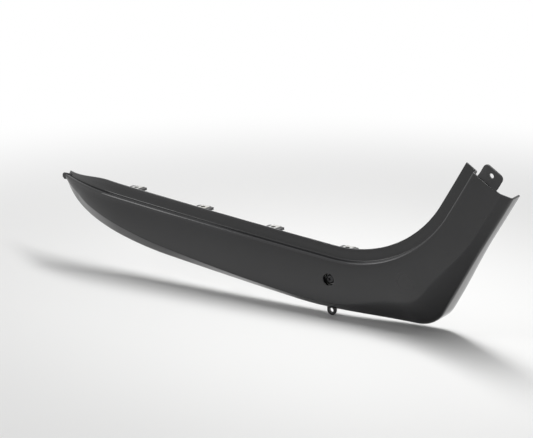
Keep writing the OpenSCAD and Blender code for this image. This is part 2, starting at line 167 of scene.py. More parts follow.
def low_path(run):
    return [
        arc_piece(TAIL_RADIUS, TAIL_TURN),
        arc_piece(SWEEP_RADIUS, TAIL_SLOPE - TAIL_TURN - BELLY_SLOPE),
        (BELLY_LINE, 0),
        arc_piece(BELLY_RADIUS, BELLY_SLOPE + BELLY_RISE),
        (run, 0),
        arc_piece(HEEL_RADIUS, HORN_SLOPE - BELLY_RISE),
        (HORN_RUN + LOW_PAST_END, 0),
    ]


def belly_to_heel():
    """Length of the level stretch, so that the heel's arc meets the front edge."""
    trial = 10
    probe = low_path(trial)
    end = walk(probe, sum(p[0] for p in probe[:-1]) - 0.001, TAIL_LOW, -TAIL_SLOPE)[0]
    front = top_at(BEND_END)[0] + HORN_WIDTH * down(HORN_SLOPE)
    normal = down(HORN_SLOPE)
    return trial + normal.dot(front - end) / normal.dot(heading(BELLY_RISE))


LOW_EDGE = low_path(belly_to_heel())
LOW_LENGTH = sum(p[0] for p in LOW_EDGE)
REACHES = {}


def low_point(beyond):
    """First point of the lower edge, counted from the tail, at which beyond(point) holds."""
    a, b = 0.0, LOW_LENGTH
    for _ in range(40):
        m = (a + b) / 2
        if beyond(walk(LOW_EDGE, m, TAIL_LOW, -TAIL_SLOPE)[0]):
            b = m
        else:
            a = m
    return walk(LOW_EDGE, (a + b) / 2, TAIL_LOW, -TAIL_SLOPE)[0]


def reach(d):
    """Height of the section at a place along the top edge."""
    key = round(d, 4)
    if key not in REACHES:
        at, turn = top_at(d)[0], section_dir(d)
        REACHES[key] = (low_point(lambda p: (p - at).dot(heading(turn)) > 0) - at).dot(down(turn))
    return REACHES[key]


def ease(t):
    t = min(1.0, max(0.0, t))
    return t * t * (3 - 2 * t)


def mix(a, b, t):
    return a + (b - a) * ease(t)


def hump(d):
    """1 at the heel, 0 away from it."""
    return ease(1 - abs(d - HEEL_RUN) / HUMP_RUN)


def near_horn(d):
    """0 along the run and the bend, 1 on the upright end."""
    return ease((d - BEND_END + HORN_BLEND) / HORN_BLEND)


def plan(d):
    y = BOW * ((d - BOW_MIDDLE) / BOW_RUN) ** 2
    if d < TUCK_RUN:
        y += TAIL_TUCK * (1 - d / TUCK_RUN) ** 2
    if d > SCREW_RUN:
        y -= FLARE * ((d - SCREW_RUN) / FLARE_RUN) ** 2
    return y


def face_y(d):
    return plan(d) - plan(SCREW_RUN) - FACE_OUT


def bevel_h(d):
    """Height of the slanted lower edge, never more than half of the section's."""
    height = mix(TAIL_BEVEL_HEIGHT, BEVEL_HEIGHT, (d - BEVEL_FROM) / BEVEL_BLEND)
    height += (HEEL_HEIGHT - BEVEL_HEIGHT) * hump(d) + HORN_BEVEL * near_horn(d)
    return min(0.5 * reach(d), height)


def bevel_d(d):
    """How far the slanted lower edge goes inwards."""
    return mix(TAIL_BEVEL_DEPTH, BEVEL_DEPTH, d / DEPTH_BLEND) + (HEEL_DEPTH - BEVEL_DEPTH) * hump(d)


def return_w(d):
    """Width of the bottom flange."""
    return mix(TAIL_RETURN, RETURN_WIDTH, d / RETURN_BLEND) + HEEL_RETURN * hump(d)


def upstand_h(d):
    return mix(TAIL_UPSTAND, UPSTAND, d / UPSTAND_BLEND)


def bulge_of(face_height):
    return min(BULGE, face_height * 0.05)


def inward(v):
    return Vector((-v.y, v.x))


def rounded_corner(point, before, after, cut, steps, start=None, end=None):
    """Curve round a corner point, from a cut before it to a cut after it, or from start, or to end."""
    start = point - before * cut if start is None else start
    end = point + after * cut if end is None else end
    return [(1 - t) ** 2 * start + 2 * t * (1 - t) * point + t * t * end
            for t in (k / steps for k in range(steps + 1))]


FOOT_STEPS, TOP_STEPS, FACE_STEPS, BEVEL_STEPS, BELLY_STEPS = 4, 8, 14, 10, 9


def section_line(d, off=0.0, pull=0.0):
    """Line of the section, moved inwards by off, from the top of the flange to the bottom flange.
    pull shortens its two ends. Returns the points and the index at which the face starts."""
    h, y, bh, bd = reach(d), face_y(d), bevel_h(d), bevel_d(d)
    fh = h - bh
    b = bulge_of(fh)

    def face(t):
        return Vector((y - b * 4 * t * (1 - t) + LEAN * t, -fh * t))

    def face_way(t):
        return Vector((-b * 4 * (1 - 2 * t) + LEAN, -fh)).normalized()

    tip = Vector((y + LEDGE, upstand_h(d)))
    corner = [Vector((y + LEDGE, 0)), Vector((y, 0)), Vector((y + LEAN, -fh)), Vector((y + LEAN + bd, -h))]
    end = Vector((y + LEAN + bd + return_w(d), -h + 1))
    ways = [(corner[0] - tip).normalized(), Vector((-1, 0)), face_way(0), face_way(1),
            (corner[3] - corner[2]).normalized(), (end - corner[3]).normalized()]
    pairs = [(ways[0], ways[1]), (ways[1], ways[2]), (ways[3], ways[4]), (ways[4], ways[5])]
    bevel_round = BEVEL_ROUND + HEEL_BEVEL_ROUND * hump(d) + HORN_BEVEL_ROUND * near_horn(d)
    belly_round = BELLY_ROUND + HEEL_BELLY_ROUND * hump(d) + HORN_BELLY_ROUND * near_horn(d)
    radii = [FOOT_ROUND + off] + [max(LEAST_ROUND, r - off) for r in (TOP_ROUND, bevel_round, belly_round)]
    moved, half = [], []
    for p, (a, c) in zip(corner, pairs):
        n = (inward(a) + inward(c)).normalized()
        moved.append(p + n * off / n.dot(inward(a)))
        half.append(math.tan(math.acos(max(-1, min(1, a.dot(c)))) / 2))
    tip = tip + inward(ways[0]) * off + ways[0] * pull
    end = end + inward(ways[5]) * off - ways[5] * pull
    spans = [(moved[0] - tip).length, (moved[1] - moved[0]).length, (moved[2] - moved[1]).length,
             (moved[3] - moved[2]).length, (end - moved[3]).length]
    cuts = [min(r * k, 0.45 * spans[i], 0.45 * spans[i + 1]) for i, (r, k) in enumerate(zip(radii, half))]
    t1 = (off * half[1] + cuts[1]) / fh
    t2 = 1 - (off * half[2] + cuts[2]) / fh

    def wall(t):
        return face(t) + inward(face_way(t)) * off

    points = [tip, tip.lerp(moved[0], 0.5)]
    points += rounded_corner(moved[0], *pairs[0], cuts[0], FOOT_STEPS)
    points += rounded_corner(moved[1], *pairs[1], cuts[1], TOP_STEPS, end=wall(t1))
    first = len(points) - 1
    points += [wall(t1 + (t2 - t1) * k / FACE_STEPS) for k in range(1, FACE_STEPS)]
    points += rounded_corner(moved[2], *pairs[2], cuts[2], BEVEL_STEPS, start=wall(t2))
    points += [points[-1].lerp(moved[3] - ways[4] * cuts[3], k / 3) for k in (1, 2)]
    points += rounded_corner(moved[3], *pairs[3], cuts[3], BELLY_STEPS)
    points += [points[-1].lerp(end, 0.5), end]
    return points, first


def placed(d, p):
    """A point of the section plane put in space, in metres."""
    at, turn = top_at(d)[0], section_dir(d)
    low = down(turn)
    return Vector((at.x - low.x * p.y, p.x, at.y - low.y * p.y)) * 0.001


# Hand tools

def start_clean():
    if bpy.context.object and bpy.context.object.mode != "OBJECT":
        bpy.ops.object.mode_set(mode="OBJECT")
    bpy.ops.object.select_all(action="DESELECT")


def active(obj):
    start_clean()
    obj.select_set(True)
    bpy.context.view_layer.objects.active = obj
    return obj


def named(name):
    obj = bpy.context.object
    obj.name = name
    obj.data.name = name
    bpy.ops.object.transform_apply(location=True, rotation=True, scale=True)
    return obj


def edit(obj, kind="FACE"):
    active(obj)
    bpy.ops.object.mode_set(mode="EDIT")
    bpy.ops.mesh.select_mode(type=kind)


def done():
    bpy.ops.object.mode_set(mode="OBJECT")


def outward(obj):
    edit(obj)
    bpy.ops.mesh.select_all(action="SELECT")
    bpy.ops.mesh.normals_make_consistent(inside=False)
    done()
    return obj


def apply_modifier(obj, kind, **values):
    active(obj)
    bpy.ops.object.modifier_add(type=kind)
    m = obj.modifiers[-1]
    for key, value in values.items():
        setattr(m, key, value)
    bpy.ops.object.modifier_apply(modifier=m.name)
    return obj


def smooth(obj, angle):
    active(obj)
    bpy.ops.object.shade_smooth_by_angle(angle=math.radians(angle))


def soften(obj, width, segments=2, angle=35):
    return apply_modifier(obj, "BEVEL", width=width * 0.001, segments=segments, limit_method="ANGLE",
                          angle_limit=math.radians(angle), use_clamp_overlap=True)


def cut(obj, tool, operation="DIFFERENCE", solver="MANIFOLD"):
    apply_modifier(obj, "BOOLEAN", operation=operation, object=tool, solver=solver)
    bpy.data.objects.remove(tool)
    return obj


def plate(name, outline, thickness):
    """Flat plate: a filled outline in space, extruded by a thickness vector. In metres."""
    start_clean()
    bpy.ops.mesh.primitive_circle_add(vertices=len(outline), radius=0.01, fill_type="NGON")
    obj = named(name)
    for v, p in zip(obj.data.vertices, outline):
        v.co = p
    edit(obj)
    bpy.ops.mesh.select_all(action="SELECT")
    bpy.ops.mesh.extrude_region_move(TRANSFORM_OT_translate={"value": thickness})
    done()
    return outward(obj)


def turned(name, rings, centre=(0, 0, 0), axis="Y", vertices=64, closed=True):
    """Turned piece: a disc extruded ring by ring, each (radius, place along the axis), in millimetres."""
    start_clean()
    turn = {"Y": (-math.pi / 2, 0, 0), "Z": (0, 0, 0)}[axis]
    r, a = rings[0]
    along = Vector((0, 1, 0)) if axis == "Y" else Vector((0, 0, 1))
    middle = Vector(centre)
    bpy.ops.mesh.primitive_circle_add(vertices=vertices, radius=r * 0.001,
                                      fill_type="NGON" if closed else "NOTHING",
                                      location=(middle + along * a) * 0.001, rotation=turn)
    obj = named(name)
    edit(obj, "VERT")
    bpy.ops.mesh.select_all(action="SELECT")
    for r2, a2 in rings[1:]:
        bpy.ops.mesh.extrude_region_move(TRANSFORM_OT_translate={"value": along * (a2 - a) * 0.001})
        k = r2 / r
        bpy.ops.transform.resize(value=(k, 1, k) if axis == "Y" else (k, k, 1),
                                 center_override=(middle + along * a2) * 0.001)
        r, a = r2, a2
    done()
    return obj


def ring_turned(name, rings, centre=(0, 0, 0), axis="Y", vertices=64):
    """Turned ring: the closed line of its section is turned round the axis."""
    obj = turned(name, list(rings) + [rings[0]], centre, axis, vertices, closed=False)
    edit(obj, "VERT")
    bpy.ops.mesh.select_all(action="SELECT")
    bpy.ops.mesh.remove_doubles(threshold=1e-6)
    done()
    return outward(obj)


# Materials

def material(name, **sockets):
    m = bpy.data.materials.new(name)
    m.use_nodes = True
    shader = m.node_tree.nodes["Principled BSDF"]
    for key, value in sockets.items():
        shader.inputs[key.replace("_", " ")].default_value = value
    return m, m.node_tree, shader


def node(tree, kind, **values):
    n = tree.nodes.new(kind)
    for key, value in values.items():
        if hasattr(n, key):
            setattr(n, key, value)
        else:
            n.inputs[key.replace("_", " ")].default_value = value
    return n


def object_place(tree, scale=(1, 1, 1)):
    place = node(tree, "ShaderNodeTexCoord")
    mapping = node(tree, "ShaderNodeMapping")
    mapping.inputs["Scale"].default_value = scale
    tree.links.new(place.outputs["Object"], mapping.inputs["Vector"])
    return mapping.outputs["Vector"]


def noise(tree, place, scale, detail=2.0, roughness=0.5):
    n = node(tree, "ShaderNodeTexNoise", Scale=scale, Detail=detail, Roughness=roughness)
    tree.links.new(place, n.inputs["Vector"])
    return n.outputs["Fac"]


def spread(tree, value, low, high, to_low, to_high):
    n = node(tree, "ShaderNodeMapRange", clamp=True)
    for key, v in (("From Min", low), ("From Max", high), ("To Min", to_low), ("To Max", to_high)):
        n.inputs[key].default_value = v
    tree.links.new(value, n.inputs["Value"])
    return n.outputs["Result"]


def sums(tree, operation, a, b):
    n = node(tree, "ShaderNodeMath", operation=operation)
    for socket, v in zip(n.inputs, (a, b)):
        if isinstance(v, (int, float)):
            socket.default_value = v
        else:
            tree.links.new(v, socket)
    return n.outputs[0]


def blend_colour(tree, factor, a, b):
    n = node(tree, "ShaderNodeMix", data_type="RGBA")
    tree.links.new(factor, n.inputs["Factor"])
    for socket, v in ((n.inputs[6], a), (n.inputs[7], b)):
        if isinstance(v, tuple):
            socket.default_value = (*v, 1)
        else:
            tree.links.new(v, socket)
    return n.outputs[2]


def bump(tree, height, distance, before=None):
    n = node(tree, "ShaderNodeBump", Strength=1.0, Distance=distance)
    tree.links.new(height, n.inputs["Height"])
    if before is not None:
        tree.links.new(before, n.inputs["Normal"])
    return n.outputs["Normal"]


def gloss_black():
    """Lacquer outside: gloss, with light dust on what faces up, fine scratches and slight orange peel."""
    m, t, shader = material("gloss_black_lacquer", IOR=1.46,
                            Coat_Weight=0.2, Coat_Roughness=0.03, Coat_IOR=1.5)
    place = object_place(t)
    cloud = noise(t, place, 14, 3)
    hair = noise(t, object_place(t, (30, 400, 900)), 1.0, 3, 0.6)
    hair2 = noise(t, object_place(t, (700, 300, 60)), 1.0, 2, 0.6)
    dust = noise(t, place, 2600, 2, 0.7)
    film = noise(t, place, 32, 5, 0.62)
    geometry = node(t, "ShaderNodeNewGeometry")
    split = node(t, "ShaderNodeSeparateXYZ")
    t.links.new(geometry.outputs["Normal"], split.inputs[0])
    up = spread(t, split.outputs["Z"], 0.1, 0.9, 0.15, 1.0)
    specks = sums(t, "MULTIPLY", spread(t, dust, 0.64, 0.74, 0, 1), spread(t, film, 0.4, 0.7, 0.1, 1))
    specks = sums(t, "MULTIPLY", specks, up)
    base = blend_colour(t, cloud, (0.011, 0.011, 0.012), (0.018, 0.018, 0.0195))
    base = blend_colour(t, sums(t, "MULTIPLY", specks, 0.45), base, (0.16, 0.155, 0.145))
    t.links.new(base, shader.inputs["Base Color"])
    scratch = sums(t, "MAXIMUM", spread(t, hair, 0.66, 0.72, 0, 1), spread(t, hair2, 0.68, 0.74, 0, 1))
    rough = sums(t, "ADD", spread(t, film, 0.35, 0.7, 0.05, 0.10), sums(t, "MULTIPLY", scratch, 0.10))
    rough = sums(t, "ADD", rough, sums(t, "MULTIPLY", specks, 0.35))
    t.links.new(rough, shader.inputs["Roughness"])
    peel = bump(t, noise(t, place, 620, 1, 0.4), 0.000006)
    wave = bump(t, noise(t, place, 22, 1, 0.4), 0.00006, peel)
    t.links.new(bump(t, scratch, 0.0000015, wave), shader.inputs["Normal"])
    return m


def moulded_black():
    """The moulding inside: matt, with pale flow marks and a fine grain."""
    m, t, shader = material("moulded_black_inside", IOR=1.5)
    place = object_place(t)
    flow = noise(t, object_place(t, (8, 20, 40)), 1.0, 4)
    chalk = noise(t, place, 45, 5, 0.65)
    grain = noise(t, place, 1700, 3, 0.6)
    base = blend_colour(t, flow, (0.018, 0.018, 0.019), (0.032, 0.032, 0.033))
    base = blend_colour(t, spread(t, chalk, 0.56, 0.78, 0, 0.35), base, (0.075, 0.073, 0.07))
    t.links.new(base, shader.inputs["Base Color"])
    t.links.new(spread(t, chalk, 0.3, 0.75, 0.42, 0.62), shader.inputs["Roughness"])
    t.links.new(bump(t, grain, 0.00005), shader.inputs["Normal"])
    return m


def zinc_plate():
    """Zinc on the spring nuts and the collar: cloudy, with yellowish spots and rolling marks."""
    m, t, shader = material("zinc_plated_steel", Metallic=1.0)
    place = object_place(t)
    bloom = noise(t, place, 260, 4, 0.6)
    blotch = noise(t, place, 90, 3)
    rolled = noise(t, object_place(t, (200, 3000, 900)), 1.0, 2)
    base = blend_colour(t, bloom, (0.50, 0.50, 0.49), (0.68, 0.68, 0.66))
    base = blend_colour(t, spread(t, blotch, 0.5, 0.75, 0, 0.5), base, (0.60, 0.56, 0.46))
    t.links.new(base, shader.inputs["Base Color"])
    t.links.new(spread(t, bloom, 0.3, 0.7, 0.24, 0.42), shader.inputs["Roughness"])
    t.links.new(bump(t, rolled, 0.000015), shader.inputs["Normal"])
    return m


def black_screw():
    """Black plating of the screw, worn bright on its edges."""
    m, t, shader = material("black_plated_screw", Metallic=0.55)
    place = object_place(t)
    bloom = noise(t, place, 380, 4, 0.6)
    geometry = node(t, "ShaderNodeNewGeometry")
    worn = spread(t, geometry.outputs["Pointiness"], 0.55, 0.66, 0, 0.8)
    worn = sums(t, "MULTIPLY", worn, spread(t, noise(t, place, 900, 3), 0.45, 0.6, 0, 1))
    base = blend_colour(t, bloom, (0.022, 0.022, 0.024), (0.05, 0.05, 0.052))
    base = blend_colour(t, worn, base, (0.42, 0.41, 0.39))
    t.links.new(base, shader.inputs["Base Color"])
    t.links.new(spread(t, bloom, 0.3, 0.7, 0.28, 0.46), shader.inputs["Roughness"])
    t.links.new(bump(t, noise(t, place, 1500, 2), 0.00001), shader.inputs["Normal"])
    return m


LACQUER = gloss_black()
MOULDED = moulded_black()
ZINC = zinc_plate()
BLACK_STEEL = black_screw()


def finish_with(obj, *materials):
    obj.data.materials.clear()
    for m in materials:
        obj.data.materials.append(m)
    return obj


# The moulded panel

ROUND_STEPS = [math.radians(22.5 * k) for k in range(5)]
TAIL_ROUND, EDGE_ROUND, WALL_EDGE_ROUND = 1.0, 0.6, 0.55
RING_PITCH, FINE_PITCH, LEAST_PITCH, TAIL_FINE, BEND_FINE_FROM = 3.2, 2.2, 1.5, 60.0, 60.0


def plain_stations():
    """Places along the top edge, closer together in the tail and the bend."""
    places = [0.0]
    while places[-1] < FULL_RUN - 0.1:
        d = places[-1]
        fine = d < TAIL_FINE or TOP_RUN + BEND_FINE_FROM < d < BEND_END
        places.append(min(FULL_RUN, d + (FINE_PITCH if fine else RING_PITCH)))
    if FULL_RUN - places[-2] < LEAST_PITCH:
        places.pop(-2)
    return [d for d in places if WALL + 1 < d < FULL_RUN - EDGE_ROUND - 0.8]


def loft_stations():
    """(place, outer skin inwards, inner skin outwards, ends drawn in) for each ring of the loft.
    The first five round the closed tail over, the last five the open upper end."""
    tail = [(TAIL_ROUND * (1 - math.cos(a)), TAIL_ROUND * (1 - math.sin(a)), 0.0, 0.0) for a in ROUND_STEPS]
    middle = [(d, 0.0, 0.0, 0.0) for d in [WALL] + plain_stations()]
    upper = []
    for a in ROUND_STEPS:
        drawn = EDGE_ROUND * (1 - math.cos(a))
        upper.append((FULL_RUN - EDGE_ROUND * (1 - math.sin(a)), drawn, drawn, drawn))
    return tail + middle + upper


def rounded_wall_end(a, b, way, r):
    """Rounded end of the wall from skin point a to skin point b; way points out of the wall."""
    across = (b - a).normalized()
    turn = [(1 - math.cos(t), 1 - math.sin(t)) for t in ROUND_STEPS[1:4]]
    line = [a + across * r * u - way * r * v for u, v in turn]
    line += [a + across * r, b - across * r]
    return line + [b - across * r * u - way * r * v for u, v in reversed(turn)]


def loft_ring(d, outer_in, inner_out, pull):
    """Closed line round the wall at a station, as its four stretches."""
    outer = section_line(d, outer_in, pull)[0]
    inner = section_line(d, WALL - inner_out, pull)[0]
    r = min(WALL_EDGE_ROUND, (WALL - outer_in - inner_out) / 2 - 0.05)
    low_way = (outer[-1] - outer[-2]).normalized()
    top_way = (outer[0] - outer[1]).normalized()
    low_arc = rounded_wall_end(outer[-1], inner[-1], low_way, r)
    top_arc = rounded_wall_end(inner[0], outer[0], top_way, r)
    for line in (outer, inner):
        line[-1] = line[-1] - low_way * r
        line[0] = line[0] - top_way * r
    return outer, low_arc, inner[::-1], top_arc


def loft_panel():
    """The moulding's wall: its section swept along the top edge, with rounded ends and a closed tail."""
    closed = len(ROUND_STEPS)
    points, starts = [], []
    for station in loft_stations():
        stretches = loft_ring(*station)
        starts.append(len(points))
        points += [placed(station[0], p) for line in stretches for p in line]
    n_out, n_low, n_in, n_top = (len(line) for line in stretches)
    n = n_out + n_low + n_in + n_top
    inner_from, inner_to = n_out + n_low, n_out + n_low + n_in
    faces, kinds = [], []

    def add(face, kind):
        faces.append(face)
        kinds.append(kind)

    for i, (a, b) in enumerate(zip(starts, starts[1:])):
        for j in range(n):
            k = (j + 1) % n
            if i < closed and inner_from <= j < inner_to - 1:
                continue
            add((a + j, b + j, b + k, a + k), 0 if j < n_out - 1 or j >= inner_to else 1)
        if i < closed:
            add((a + inner_from, b + inner_from, b + inner_to - 1, a + inner_to - 1), 1)
    # end wall of the tail, outside and inside
    add([starts[0] + j for j in range(n) if not inner_from < j < inner_to - 1], 0)
    add([starts[closed] + j for j in range(inner_from, inner_to)][::-1], 1)
    # edge of the wall at the upper end
    last = starts[-1]
    for j in range(n_out - 1):
        add((last + j, last + inner_to - 1 - j, last + inner_to - 2 - j, last + j + 1), 0)
    add([last + j for j in range(n_out - 1, inner_from + 1)], 0)
    add([last + j for j in range(inner_to - 1, n)] + [last], 0)
    mesh = bpy.data.meshes.new("side_panel_moulding")
    mesh.from_pydata(points, [], faces)
    obj = bpy.data.objects.new("side_panel_moulding", mesh)
    bpy.context.scene.collection.objects.link(obj)
    finish_with(obj, LACQUER, MOULDED)
    mesh.polygons.foreach_set("material_index", kinds)
    return outward(obj)


def rib(d):
    """A rib across the hollow side: it follows the wall's middle and runs out over the bottom flange."""
    line, first = section_line(d, WALL / 2)
    inner_y = face_y(d) + WALL + RIB_DEPTH
    low = Vector((face_y(d) + LEAN + bevel_d(d), -reach(d)))
    foot = low.y + RIB_FOOT
    outline = line[first + 4:-1]
    outline += [
        Vector((low.x + return_w(d) - 4, line[-1].y)),
        Vector((low.x + WALL + 4, foot)),
        Vector((max(inner_y + LEAN, low.x - 6), foot + bevel_h(d) * 0.6)),
        Vector((inner_y, -RIB_BELOW_TOP)),
        Vector((outline[0].x + 1, outline[0].y - 1)),
    ]
    way = heading(section_dir(d))
    thick = Vector((way.x, 0, way.y)) * RIB_THICK * 0.001
    return soften(plate("rib", [placed(d, p) - thick / 2 for p in outline], thick), 0.3)


def run_at(x):
    return (x - TIP.x) / math.cos(math.radians(TOP_SLOPE))


def tab_place(i):
    """Of a tab: its x, the height of its top, the y of the flange it starts from, and the y of its end."""
    x = TIP.x + TOP_RUN * math.cos(math.radians(TOP_SLOPE)) + TAB_LEAD - i * TAB_PITCH
    top = TIP.y - (x - TIP.x) * math.tan(math.radians(TOP_SLOPE)) + UPSTAND - TAB_DROP
    wall = face_y(run_at(x)) + LEDGE
    return x, top, wall, wall + WALL + TAB_REACH


def rounded_end(w, length, r, steps=6):
    line = [(-w / 2, 0)]
    for k in range(steps + 1):
        a = math.radians(180 - 90 * k / steps)
        line.append((-w / 2 + r + r * math.cos(a), length - r + r * math.sin(a)))
    for k in range(steps + 1):
        a = math.radians(90 - 90 * k / steps)
        line.append((w / 2 - r + r * math.cos(a), length - r + r * math.sin(a)))
    line.append((w / 2, 0))
    return line


def floor_tab(i):
    """A tab with rounded corners and a slanted stay under each of its sides."""
    x, top, wall, end = tab_place(i)
    y0, z0 = wall + WALL * 0.5, top - TAB_THICK
    outline = [Vector((x + u, y0 + v, z0)) * 0.001 for u, v in rounded_end(TAB_WIDTH, end - y0, 3)]
    pieces = [soften(plate("tab", outline, Vector((0, 0, TAB_THICK * 0.001))), 0.35)]
    corners = [(0, 0), (STAY_REACH, 0), (STAY_FOOT, -STAY_HEIGHT), (0, -STAY_HEIGHT)]
    for s in (-1, 1):
        x0 = x + s * (TAB_WIDTH / 2 - STAY_FROM_SIDE) - RIB_THICK / 2
        side = [Vector((x0, y0 + v, z0 + 0.8 + w)) * 0.001 for v, w in corners]
        pieces.append(soften(plate("stay", side, Vector((RIB_THICK * 0.001, 0, 0))), 0.25))
    return pieces


def face_surface(x, z):
    """The face's y near the side screw."""
    d = SCREW_RUN
    for _ in range(12):
        at = top_at(d)[0]
        d += (Vector((x, z)) - at).dot(heading(section_dir(d)))
    at = top_at(d)[0]
    v = (Vector((x, z)) - at).dot(down(section_dir(d)))
    fh = reach(d) - bevel_h(d)
    t = v / fh
    return face_y(d) - bulge_of(fh) * 4 * t * (1 - t) + LEAN * t


def pocket_cutter():
    """Pocket for the side screw, with its rim rolled over into the face."""
    floor = -THREAD_START - POCKET_FLOOR
    r = POCKET_D / 2
    rings = [(r - 0.6, floor), (r - 0.18, floor - 0.18), (r, floor - 0.6), (r, -FACE_OUT + 1.6)]
    rim = [(0.0, 1.0), (0.06, 0.62), (0.24, 0.3), (0.55, 0.08), (1.0, -0.02), (1.3, -0.25), (1.4, -6)]
    rim_rings = [(r + out, -FACE_OUT + 1.0 - 0.1 * k) for k, (out, _) in enumerate(rim)]
    obj = turned("pocket_cutter", rings + rim_rings, vertices=96)
    for v in obj.data.vertices:
        radius, y = math.hypot(v.co.x, v.co.z) * 1000, v.co.y * 1000
        for (ring_r, ring_y), (_, deep) in zip(rim_rings, rim):
            if abs(radius - ring_r) < 1e-3 and abs(y - ring_y) < 1e-3:
                v.co.y = (face_surface(v.co.x * 1000, v.co.z * 1000) + deep) * 0.001
    return outward(obj)


def pocket_boss():
    """Boss behind the pocket, with its four stays."""
    r = POCKET_D / 2 + WALL
    front = -FACE_OUT + WALL * 0.5
    back = -THREAD_START
    rings = [(r, front), (r, back - 0.5), (r - 0.15, back - 0.15), (r - 0.5, back)]
    pieces = [outward(turned("boss", rings, vertices=96))]
    top = FACE_OUT - 4
    corners = [(0, 0), (BOSS_STAY_REACH, 0), (BOSS_STAY_REACH, BOSS_STAY_FOOT),
               (BOSS_STAY_TOP, top), (0, top)]
    for a in (45, 135, 225, 315):
        start = front - BULGE * 0.75 + LEAN * (0.25 if a > 180 else 0.75)
        turn = Matrix.Rotation(math.radians(a), 4, "Y")
        line = [turn @ (Vector((r - 1 + u, start + v, -RIB_THICK / 2)) * 0.001) for u, v in corners]
        pieces.append(soften(plate("boss_stay", line, turn @ Vector((0, 0, RIB_THICK * 0.001))), 0.3))
    return pieces


def eye_place():
    run = run_at(EYE_LEAD)
    low = low_point(lambda p: p.x > EYE_LEAD).y
    return face_y(run) + LEAN + bevel_d(run) + EYE_IN, low - EYE_D / 2 + 1


def eye():
    """The eye that hangs under the belly."""
    y, z = eye_place()
    r = EYE_D / 2
    line = [(r, r + 0.4)]
    line += [(r * math.cos(math.radians(-a)), r * math.sin(math.radians(-a))) for a in range(0, 181, 6)]
    line += [(-r, r + 0.4)]
    outline = [Vector((EYE_LEAD + u, y, z + w)) * 0.001 for u, w in line]
    return soften(plate("eye", outline, Vector((0, EYE_THICK * 0.001, 0))), 0.35)


def tongue_place():
    """Foot of the tongue on the upper end, and the ways out of the end, down across it and through it."""
    before = placed(FULL_RUN - 8, Vector((face_y(FULL_RUN - 8), 0)))
    corner = placed(FULL_RUN, Vector((face_y(FULL_RUN), 0)))
    out = (corner - before).normalized()
    slope = math.radians(HORN_SLOPE)
    across = Vector((math.sin(slope), 0, -math.cos(slope)))
    return corner + across * TONGUE_ACROSS * 0.001, out, across, across.cross(out).normalized()


def tongue():
    """The stepped tongue that goes behind the leg shield."""
    foot, out, across, through = tongue_place()
    w0 = WALL - TONGUE_SUNK
    w1 = w0 + TONGUE_STEP - 1
    side = [(-TONGUE_ROOT, -w0), (-1, -w0), (3, -w1), (TONGUE_REACH, -w1), (TONGUE_REACH, -w1 - WALL),
            (2, -w1 - WALL), (-2, -w0 - WALL), (-TONGUE_ROOT, -w0 - WALL)]
    outline = [foot + (out * s + through * c - across * TONGUE_WIDTH / 2) * 0.001 for s, c in side]
    obj = plate("tongue", outline, across * TONGUE_WIDTH * 0.001)
    plan_line = rounded_end(TONGUE_WIDTH, TONGUE_REACH + TONGUE_RUN_IN, TONGUE_CORNER)
    start = out * -TONGUE_RUN_IN + through * -20
    outline = [foot + (start + out * v + across * c) * 0.001 for c, v in plan_line]
    cut(obj, plate("tongue_outline", outline, through * 0.04), "INTERSECT")
    return soften(obj, 0.4)


def tongue_hole_cutter():
    foot, out, across, through = tongue_place()
    hole = outward(turned("tongue_hole", [(TONGUE_HOLE_D / 2, -20), (TONGUE_HOLE_D / 2, 20)], axis="Z"))
    turn = Matrix((across, out, through)).transposed().to_4x4()
    hole.data.transform(Matrix.Translation(foot + out * (TONGUE_REACH - TONGUE_HOLE_IN) * 0.001) @ turn)
    return hole


def hook():
    """The flat hook behind the rear tip."""
    h = placed(HOOK_FROM_TAIL, Vector((face_y(HOOK_FROM_TAIL) + LEDGE * 0.7, -1.5))) * 1000
    x0, x1, y0, z0, z1 = h.x - HOOK_LENGTH, h.x + 6, h.y + 1, h.z - 6, h.z + 3
    line = [(x1, z0), (x0 + 3, z0), (x0, z0 + 3), (x0, z1 - 2), (x0 + 2, z1), (x1, z1)]
    outline = [Vector((u, y0, w)) * 0.001 for u, w in line]
    return soften(plate("hook", outline, Vector((0, WALL * 0.001, 0))), 0.4)


def make_panel():
    panel = loft_panel()
    extras = [rib(d) for d in RIB_PLACES]
    for i in range(TABS):
        extras += floor_tab(i)
    extras += pocket_boss() + [eye(), tongue(), hook()]
    for piece in extras:
        finish_with(piece, MOULDED)
        cut(panel, piece, "UNION")
    cut(panel, pocket_cutter())
    hole_r = SCREW_D / 2 + SCREW_PLAY + COLLAR_WALL + COLLAR_PLAY
    cut(panel, outward(turned("floor_hole", [(hole_r, -8), (hole_r, 4)])))
    for i in range(TABS):
        x, top, _, end = tab_place(i)
        r = TAB_HOLE_D / 2
        centre = (x, end - NUT_LENGTH * NUT_MIDDLE, 0)
        cut(panel, outward(turned("tab_hole", [(r, top - TAB_THICK - 1), (r, top + 1)], centre, "Z")))
    y, z = eye_place()
    r = EYE_HOLE_D / 2
    cut(panel, outward(turned("eye_hole", [(r, y - 1), (r, y + EYE_THICK + 1)], (EYE_LEAD, 0, z))))
    cut(panel, tongue_hole_cutter())
    panel.name = panel.data.name = "side_panel_moulding"
    smooth(panel, 32)
    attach(panel, "root")
    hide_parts("side_panel")


# The side screw and its collar

